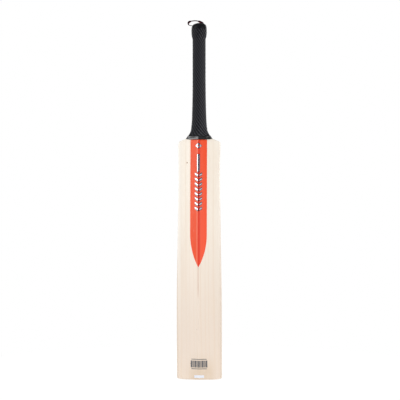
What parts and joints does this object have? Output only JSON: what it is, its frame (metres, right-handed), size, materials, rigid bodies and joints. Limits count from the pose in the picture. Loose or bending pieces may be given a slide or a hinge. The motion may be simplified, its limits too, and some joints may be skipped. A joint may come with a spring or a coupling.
{
  "type": "cricket bat",
  "caption": "Adult short-handle cricket bat: willow blade with a high spine, spliced cane handle with rubber springs, black rubber grip, red spine sticker and a ribbon hanging loop.",
  "frame": {"origin": "under the middle of the bat's width and depth, at the toe that the bat stands on", "axes": "+Z from the toe up to the end of the handle, +Y out of the hitting face, -Y out of the spine, +X to the right as the spine is looked at"},
  "size_m": [0.1078, 0.0614, 0.8676],
  "materials": {
    "willow": "satin",
    "cane": "matte",
    "spring_rubber": "matte",
    "twine": "matte",
    "grip_rubber": "satin",
    "tape": "gloss",
    "red_film": "gloss",
    "silver_foil": "polished",
    "grey_ink": "satin",
    "white_label": "satin",
    "ribbon": "matte"
  },
  "bodies": {
    "root": {"blade": "willow", "cane_back_left": "cane", "cane_back_centre": "cane", "cane_back_right": "cane", "cane_inner_back_left": "cane", "cane_inner_back_centre": "cane", "cane_inner_back_right": "cane", "cane_inner_front_left": "cane", "cane_inner_front_centre": "cane", "cane_inner_front_right": "cane", "cane_front_left": "cane", "cane_front_centre": "cane", "cane_front_right": "cane", "rubber_spring_back": "spring_rubber", "rubber_spring_middle": "spring_rubber", "rubber_spring_front": "spring_rubber", "twine_binding": "twine", "grip": "grip_rubber", "grip_base_tape": "tape", "back_sticker": "red_film", "back_foil_chevrons": "silver_foil", "back_foil_emblem": "silver_foil", "toe_print": "grey_ink", "size_label": "white_label", "face_sticker": "red_film", "face_foil_chevrons": "silver_foil", "hang_loop": "ribbon"}
  },
  "joints": []
}
